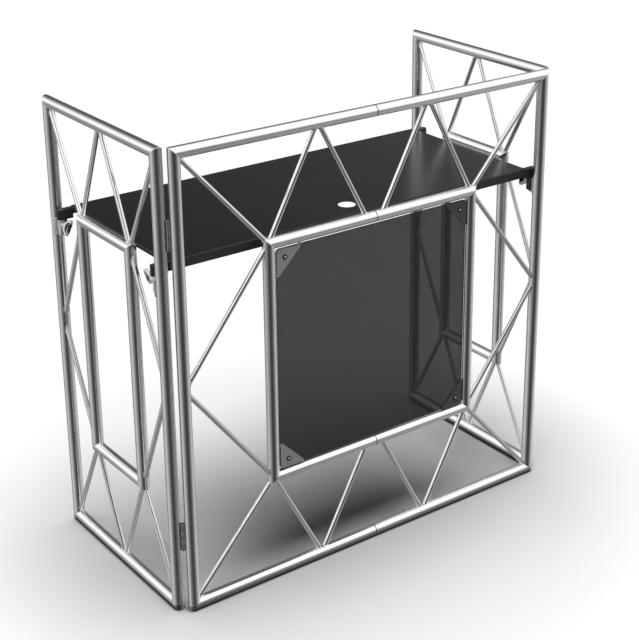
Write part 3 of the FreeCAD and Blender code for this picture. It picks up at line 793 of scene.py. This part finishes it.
HINGE_HEIGHT = 72 * MM
PIN_CAP = 2 * MM
PIN_CAP_TIP = 0.6 * MM
KNUCKLE_CHAMFER = 0.5 * MM
KNUCKLE_GAP = 0.4 * MM
LEAF_THICKNESS = 2.5 * MM
LEAF_WIDTH = 9 * MM
LEAF_CORNER = 2 * MM
LEAF_EDGE = 0.4 * MM


def turned_sleeve(radius, half, chamfer):
    """A short cylinder with chamfered ends, this far up and down from its middle."""
    return lathe([
        (radius - chamfer, -half), (radius, -half + chamfer),
        (radius, half - chamfer), (radius - chamfer, half)])


def add_hinges():
    """Three knuckles, two leaves and a capped pin for each of the two hinges on a side."""
    knuckle = HINGE_HEIGHT / 3
    half_leaf = LEAF_THICKNESS / 2
    half_height = HINGE_HEIGHT / 2
    leaf = rounded_rectangle((0, -half_height), (LEAF_WIDTH, half_height), LEAF_CORNER, steps=4)
    for side, sign in SIDES.items():
        low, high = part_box(f"{side}_hinge_pins")
        axis = Vector(((low.x + high.x) / 2, (low.y + high.y) / 2, 0))
        radius = (high.x - low.x) / 2
        levels = (low.z + PIN_CAP + half_height, high.z - PIN_CAP - half_height)
        cap = turned_rows(radius, (0, 0), (0, 0.8), (0.7, 1.5), (2.2, 1.9)) + [(PIN_CAP_TIP, PIN_CAP)]
        frame_leaf = bmesh.new()
        wing_leaf = bmesh.new()
        pins = bmesh.new()
        to_front_post = -sign * X_AXIS
        for level in levels:
            middle = axis + Z_AXIS * level
            for up in (-1, 1):
                outer_knuckle = turned_sleeve(radius, knuckle / 2, KNUCKLE_CHAMFER)
                join(frame_leaf, outer_knuckle, Matrix.Translation(middle + Z_AXIS * up * knuckle))
            middle_knuckle = turned_sleeve(radius, knuckle / 2 - KNUCKLE_GAP, KNUCKLE_CHAMFER)
            join(wing_leaf, middle_knuckle, Matrix.Translation(middle))
            join(frame_leaf, prism(leaf, LEAF_THICKNESS, LEAF_EDGE, segments=2),
                 axes(middle - Y_AXIS * half_leaf, to_front_post, Z_AXIS, Y_AXIS))
            join(wing_leaf, prism(leaf, LEAF_THICKNESS, LEAF_EDGE, segments=2),
                 axes(middle - X_AXIS * half_leaf, Y_AXIS, Z_AXIS, X_AXIS))
            for up in (-1, 1):
                base = middle + Z_AXIS * up * half_height
                join(pins, lathe(cap), axes(base, X_AXIS, Y_AXIS * up, Z_AXIS * up))
        add_piece(f"{side}_hinge_frame_plates", frame_leaf, [HINGE_STEEL], "front_frame", "hinge_steel",
                  f"{side}_hinge_frame_leaves")
        add_piece(f"{side}_hinge_wing_plates", wing_leaf, [HINGE_STEEL], f"{side}_wing", "hinge_steel",
                  f"{side}_hinge_wing_leaves")
        add_piece(f"{side}_hinge_pin_caps", pins, [PIN_STEEL], "front_frame", "hinge_steel",
                  f"{side}_hinge_pins")


# Saddles and wing screws

POST_RADIUS = 15 * MM
FLANGE_ANGLE = 80
FLANGE_STEPS = 24
FLANGE_EDGE = 0.7 * MM
BOSS_SINK = 1 * MM
BOSS_GAP = 0.2 * MM
BOSS_CORNER = 2.5 * MM
BOSS_EDGE = 1.8 * MM
WING_LEAN = {"front": math.radians(18), "rear": math.radians(-25)}
LOBE_RADIUS = 8 * MM
LOBE_OFFSET = 13.5 * MM
LOBE_SWEEP = 106
LOBE_STEPS = 8
VALLEY_RISE = 16
VALLEY_STEPS = 20
FLARE = 24 * MM
WING_THICKNESS = 9 * MM
WING_EDGE = 2.6 * MM
HUB_RADIUS = 7 * MM
HUB_LENGTH = 12 * MM
HUB_BEFORE_FLARE = 6 * MM
THREAD_RADIUS = 4 * MM


def saddle_places(side):
    """The post centre and the way towards the wing's middle, for the two saddles of a wing."""
    places = []
    for post, towards in (("wing_front_post", 1), ("wing_rear_post", -1)):
        low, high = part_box(f"{side}_{post}")
        places.append((Vector(((low.x + high.x) / 2, (low.y + high.y) / 2, 0)), Y_AXIS * towards))
    return places


def add_saddles():
    """A cast boss on a curved flange at each wing post."""
    for side in SIDES:
        low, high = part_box(f"{side}_wing_saddles")
        flange_low, flange_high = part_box(f"{side}_saddle_flanges")
        height = high.z - low.z
        outer = (flange_high.x - flange_low.x) / 2 / math.sin(math.radians(FLANGE_ANGLE))
        half_width = (high.x - low.x) / 2
        screw_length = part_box(f"{side}_front_wing_screw")[1].y - saddle_places(side)[0][0].y
        reach = screw_length - LOBE_RADIUS - FLARE - HUB_BEFORE_FLARE
        bosses = bmesh.new()
        flanges = bmesh.new()
        boss = rounded_rectangle(
            (-half_width, outer - BOSS_SINK), (half_width, reach - BOSS_GAP), BOSS_CORNER, steps=4)
        start = 90 - FLANGE_ANGLE
        flange = arc((0, 0), outer, start, 180 - start, FLANGE_STEPS)
        flange += arc((0, 0), POST_RADIUS, 180 - start, start, FLANGE_STEPS)
        for centre, towards in saddle_places(side):
            place = axes(centre + Z_AXIS * low.z, X_AXIS, towards, Z_AXIS)
            join(bosses, prism(boss, height, BOSS_EDGE), place)
            join(flanges, prism(flange, height, FLANGE_EDGE, segments=2), place)
        add_piece(f"{side}_saddle_bosses", bosses, [CASTING], f"{side}_wing", "saddle_metal",
                  f"{side}_wing_saddles")
        add_piece(f"{side}_saddle_curves", flanges, [CASTING], f"{side}_wing", "saddle_metal",
                  f"{side}_saddle_flanges")


def wing_outline():
    """A thumb screw's two wings, seen flat: straight flanks, round lobes and a valley between them."""
    valley_radius = LOBE_OFFSET - LOBE_RADIUS / 4
    valley_y = FLARE + LOBE_RADIUS / 2
    points = [(-HUB_RADIUS, 0), (HUB_RADIUS, 0)]
    points += arc((LOBE_OFFSET, FLARE), LOBE_RADIUS, 0, LOBE_SWEEP, LOBE_STEPS)
    points += arc((0, valley_y), valley_radius, VALLEY_RISE, -180 - VALLEY_RISE, VALLEY_STEPS)
    points += arc((-LOBE_OFFSET, FLARE), LOBE_RADIUS, 180 - LOBE_SWEEP, 180, LOBE_STEPS)
    return points


def add_wing_screws():
    """Four cast thumb screws, each on its own threaded shank."""
    for side, sign in SIDES.items():
        for end, (centre, towards) in zip(("front", "rear"), saddle_places(side)):
            node = f"{side}_{end}_wing_screw"
            low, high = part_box(node)
            level = (low.z + high.z) / 2
            shank_start, outer_y = sorted((abs(high.y - centre.y), abs(low.y - centre.y)))
            flare_start = outer_y - LOBE_RADIUS - FLARE
            hub_start = flare_start - HUB_BEFORE_FLARE
            lean = WING_LEAN[end]
            along = Vector((sign * math.sin(lean), 0, math.cos(lean)))
            across = along.cross(towards)
            origin = centre + Z_AXIS * level
            wings_start = origin + towards * flare_start - across * WING_THICKNESS / 2
            wings = prism(wing_outline(), WING_THICKNESS, WING_EDGE, segments=4)
            hub = turned_rows(HUB_RADIUS, (1, 0), (0, 1), base=hub_start)
            hub += turned_rows(HUB_RADIUS, (0, 0), (2, 3), (4, 4), base=hub_start + HUB_LENGTH)
            shank = turned_rows(THREAD_RADIUS, (1, 0), (0, 1), base=shank_start)
            shank += turned_rows(THREAD_RADIUS, (0, 1), base=hub_start)
            turned = axes(origin, along, across, towards)
            shape = bmesh.new()
            join(shape, wings, axes(wings_start, along, towards, across))
            join(shape, lathe(hub), turned)
            join(shape, lathe(shank), turned)
            add_piece(f"{node}_casting", shape, [CASTING], node, "wing_screw_metal", node)


# Table and its arms

SHEET = 1.5 * MM
FOLD_RADIUS = 3 * MM
TABLE_CORNER = 4.5 * MM
FOLD_STEPS = 5
HOLE_RADIUS = 23 * MM
HOLE_INSET = 66.5 * MM
END_LIP = 9.5 * MM
END_LIP_START = 8 * MM
HOLE_STEPS = 48
HOLE_EDGE = 0.4 * MM
ARM_WIDTH = 18 * MM
NOSE_STEPS = 12
ARM_EDGE = 1.2 * MM
LEG_EDGE = 0.5 * MM
LEG_CORNER = 3 * MM
LEG_STEPS = 5
LEG_THICKNESS = 3 * MM


def table_outline(low, high, inset):
    """Points round the table: ends of the end lips, round corners and middles of the long sides."""
    flat_low = (low.x + inset, low.y + inset)
    flat_high = (high.x - inset, high.y - inset)
    corners = rounded_rectangle(flat_low, flat_high, TABLE_CORNER - inset)
    quarter = len(corners) // 4
    back_right, back_left, front_left, front_right = (
        corners[quarter * turn:quarter * (turn + 1)] for turn in range(4))
    lip_front, lip_back = low.y + END_LIP_START, high.y - END_LIP_START
    right = [(flat_high[0], lip_front), (flat_high[0], lip_back)]
    left = [(flat_low[0], lip_back), (flat_low[0], lip_front)]
    back = right + back_right
    rear_half = back + [(0.0, flat_high[1])] + back_left + left
    points = rear_half + front_left + [(0.0, flat_low[1])] + front_right
    ends = (0, 1, len(rear_half) - 2, len(rear_half) - 1)
    return points, ends, len(back), len(rear_half) + quarter


def sheet_face(part, loop, back, front, circle):
    """A flat sheet round the cable hole, as a left and a right half."""
    half = HOLE_STEPS // 2
    left = loop[back:front + 1]
    right = loop[front:] + loop[:back + 1]
    circle_left = circle[:half + 1]
    circle_right = circle[half:] + circle[:1]
    part.faces.new(left + circle_left[::-1])
    part.faces.new(right + circle_right[::-1])


def add_table():
    """A folded sheet with rounded bends, long lips, shorter end lips and a cable hole; the lips and bends
    carry painted light.
    """
    low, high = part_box("table_top")
    part = bmesh.new()
    outside = [(0.0, low.z)]
    inside = [(SHEET, low.z)]
    for step in range(FOLD_STEPS + 1):
        bend = math.pi / 2 * step / FOLD_STEPS
        rise = 1 - math.sin(bend)
        run = 1 - math.cos(bend)
        outside.append((FOLD_RADIUS * run, high.z - FOLD_RADIUS * rise))
        bend_inside = FOLD_RADIUS - SHEET
        inside.append((SHEET + bend_inside * run, high.z - SHEET - bend_inside * rise))

    def loop(inset, level, end_level):
        points, ends = table_outline(low, high, inset)[:2]
        levels = [end_level if step in ends else level for step in range(len(points))]
        return [part.verts.new((x, y, z)) for (x, y), z in zip(points, levels)]

    end_low = high.z - END_LIP
    outer_rings = [loop(inset, level, max(level, end_low)) for inset, level in outside]
    inner_rings = [loop(inset, level, max(level, end_low)) for inset, level in inside]
    back, front = table_outline(low, high, 0.0)[2:]
    skin(part, outer_rings)
    skin(part, inner_rings)
    skin(part, [outer_rings[0], inner_rings[0]])

    def circle(radius, level):
        spots = arc((0.0, low.y + HOLE_INSET), radius, 90, 450, HOLE_STEPS)[:-1]
        return [part.verts.new((x, y, level)) for x, y in spots]

    upper = circle(HOLE_RADIUS + HOLE_EDGE, high.z)
    rim = circle(HOLE_RADIUS, high.z - HOLE_EDGE)
    lower = circle(HOLE_RADIUS, high.z - SHEET)
    skin(part, [upper, rim, lower])
    sheet_face(part, outer_rings[-1], back, front, upper)
    sheet_face(part, inner_rings[-1], back, front, lower)
    part.normal_update()
    # Flat faces take the table paint; lips and bends take its lighter copy, painted light
    for face in part.faces:
        face.material_index = 0 if abs(face.normal.z) > FLAT_ENOUGH else 1
    add_piece("table_sheet", part, [TABLE_PAINT, LIP_PAINTED_LIGHT], "table", "table_black", "table_top")


def add_brackets():
    """The four arms with round noses, and the plates that hook inside the saddles."""
    low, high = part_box("table_brackets")
    leg_low, leg_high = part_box("bracket_legs")
    table_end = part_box("table_top")[1].x
    nose = ARM_WIDTH / 2
    run = high.x - table_end
    outline = [(0, 0)] + arc((run - nose, nose), nose, -90, 90, NOSE_STEPS) + [(0, ARM_WIDTH)]
    leg_height = leg_high.z - leg_low.z
    leg = rounded_rectangle((0, 0), (ARM_WIDTH, leg_height + LEG_CORNER), LEG_CORNER, LEG_STEPS)
    arms = bmesh.new()
    legs = bmesh.new()
    for sign in SIDES.values():
        for edge_y, towards in ((low.y, 1), (high.y, -1)):
            end = Vector((sign * table_end, edge_y, low.z))
            place = axes(end, X_AXIS * sign, Y_AXIS * towards, Z_AXIS)
            join(arms, prism(outline, high.z - low.z, ARM_EDGE), place)
            foot = Vector((sign * leg_high.x, edge_y, leg_low.z))
            join(legs, prism(leg, LEG_THICKNESS, LEG_EDGE, segments=2),
                 axes(foot, Y_AXIS * towards, Z_AXIS, -X_AXIS * sign))
    add_piece("bracket_arms", arms, [BLACK_PAINT], "table", "bracket_black", "table_brackets")
    add_piece("bracket_hooks", legs, [BLACK_PAINT], "table", "bracket_black", "bracket_legs")


# Solids that are shown as they are

def dress_solids():
    """A finish for every solid; the sleeves and inserts inside the tubes are shown as they are."""
    for name, thing in nodes.items():
        thing.data.materials.clear()
        # The rail spigots take the darkened aluminium with painted shade
        thing.data.materials.append(SHADED_SPIGOT_METAL if name == "rail_spigots" else STEEL)


# Floor, light and surroundings

FLOOR_HALF = 40.0
# Painted shade on the floor: a deeper tone within these distances of the booth's middle, and contact
# shade within the reach
FLOOR_NEAR = 0.5
FLOOR_FAR = 1.25
FLOOR_TONE_PAINTED_SHADE = (0.83, 0.94)
CONTACT_SHADE_REACH = 9 * MM
LIGHT_STRENGTH = 3.4
LIGHT_ANGLE = math.radians(52)
ROOM_FILL = 0.005
DARK_BEHIND = Vector((0.352, 0.831, 0.431))
DARK_BEHIND_START = 1.031
DARK_BEHIND_END = 0.655
SKY_TONE = (0.06, 1.12)
DARK_LOW = Vector((-0.309, -0.951, 0))
WALL_HEIGHTS = ((0.8, 0.0), (0.955, 0.31), (1.0, 0.6))
GROUND_TONES = (
    (0.0, 0.2), (0.1, 0.24), (0.35, 0.57), (0.53, 0.55), (0.8, 0.26), (0.95, 0.085), (1.0, 0.045))
HORIZON_LOW = -0.2
HORIZON_HIGH = 0.22
UNDERFOOT_START = -0.55
UNDERFOOT_END = -0.85
UNDERFOOT_TONE = 0.22
BACKDROP_TONE = 1.0


def vector_step(tree, operation, *inputs):
    """The outputs of one step of vector arithmetic."""
    step = add_node(tree, "ShaderNodeVectorMath", operation=operation)
    for socket, value in zip(step.inputs, inputs):
        fill(tree, socket, value)
    return step.outputs


def add_floor():
    """A plain pale floor with painted shade: its tone is a touch deeper near the booth, and painted
    contact shade darkens it where the booth stands on it.
    """
    mesh = bpy.data.meshes.new("floor")
    corners = [(-1, -1), (1, -1), (1, 1), (-1, 1)]
    mesh.from_pydata([(x * FLOOR_HALF, y * FLOOR_HALF, 0) for x, y in corners], [], [(0, 1, 2, 3)])
    floor = bpy.data.objects.new("floor", mesh)
    material, tree, shader = new_material("floor_white", Roughness=0.9, Specular_IOR_Level=0.1)
    distance = vector_step(tree, "LENGTH", own_place(tree))["Value"]
    # Painted shade: a deeper floor tone near the booth, with ambient occlusion multiplied in as painted
    # contact shade
    tone = tint(tree, map_range(tree, distance, FLOOR_NEAR, FLOOR_FAR), FLOOR_TONE_PAINTED_SHADE)
    painted_contact_shade = add_node(tree, "ShaderNodeAmbientOcclusion", Distance=CONTACT_SHADE_REACH)
    tree.links.new(deepen(tree, tone, painted_contact_shade.outputs["Color"]), shader.inputs["Base Color"])
    mesh.materials.append(material)
    floor.visible_glossy = False
    scene.collection.objects.link(floor)


def add_light():
    """One wide soft light overhead."""
    data = bpy.data.lights.new("overhead", "SUN")
    data.energy = LIGHT_STRENGTH
    data.angle = LIGHT_ANGLE
    light = bpy.data.objects.new("overhead", data)
    light.visible_glossy = False
    scene.collection.objects.link(light)


def add_surroundings():
    """A studio round the booth: white above, dark walls behind and in front, grey below."""
    world = bpy.data.worlds.new("studio")
    scene.world = world
    world.use_nodes = True
    tree = world.node_tree
    direction = add_node(tree, "ShaderNodeTexCoord").outputs["Generated"]
    upwards = add_node(tree, "ShaderNodeSeparateXYZ", Vector=direction).outputs["Z"]

    behind = vector_step(tree, "DOT_PRODUCT", direction, DARK_BEHIND)["Value"]
    sky = map_range(tree, behind, DARK_BEHIND_START, DARK_BEHIND_END, SKY_TONE, "SMOOTHSTEP")

    flat = vector_step(tree, "MULTIPLY", direction, (1, 1, 0))["Vector"]
    level = vector_step(tree, "NORMALIZE", flat)["Vector"]
    to_front = vector_step(tree, "DOT_PRODUCT", level, DARK_LOW)["Value"]
    turn = map_range(tree, to_front, -1, 1)
    steep = map_range(tree, upwards, UNDERFOOT_START, UNDERFOOT_END)
    ground = mix(tree, steep, grey_ramp(tree, turn, GROUND_TONES), grey(UNDERFOOT_TONE))

    wall_height = grey_ramp(tree, turn, WALL_HEIGHTS)
    above_wall = add_node(tree, "ShaderNodeMath", operation="SUBTRACT")
    tree.links.new(upwards, above_wall.inputs[0])
    tree.links.new(wall_height, above_wall.inputs[1])
    horizon = map_range(
        tree, above_wall.outputs["Value"], HORIZON_LOW, HORIZON_HIGH, shape="SMOOTHSTEP")
    studio = mix(tree, horizon, ground, sky)

    path = add_node(tree, "ShaderNodeLightPath")
    seen = mix(tree, path.outputs["Is Camera Ray"], studio, grey(BACKDROP_TONE))
    strength = map_range(tree, path.outputs["Diffuse Depth"], 0.0, 1.0, (1.0, ROOM_FILL))
    background = tree.nodes["Background"]
    tree.links.new(seen, background.inputs["Color"])
    tree.links.new(strength, background.inputs["Strength"])


add_camera()
dress_solids()
tube_trees = add_tubes()
add_lacing(tube_trees)
add_panel()
add_corner_plates()
add_panel_screws()
add_panel_nuts()
add_spigot_screws()
add_hinges()
add_saddles()
add_wing_screws()
add_table()
add_brackets()
add_floor()
add_light()
add_surroundings()
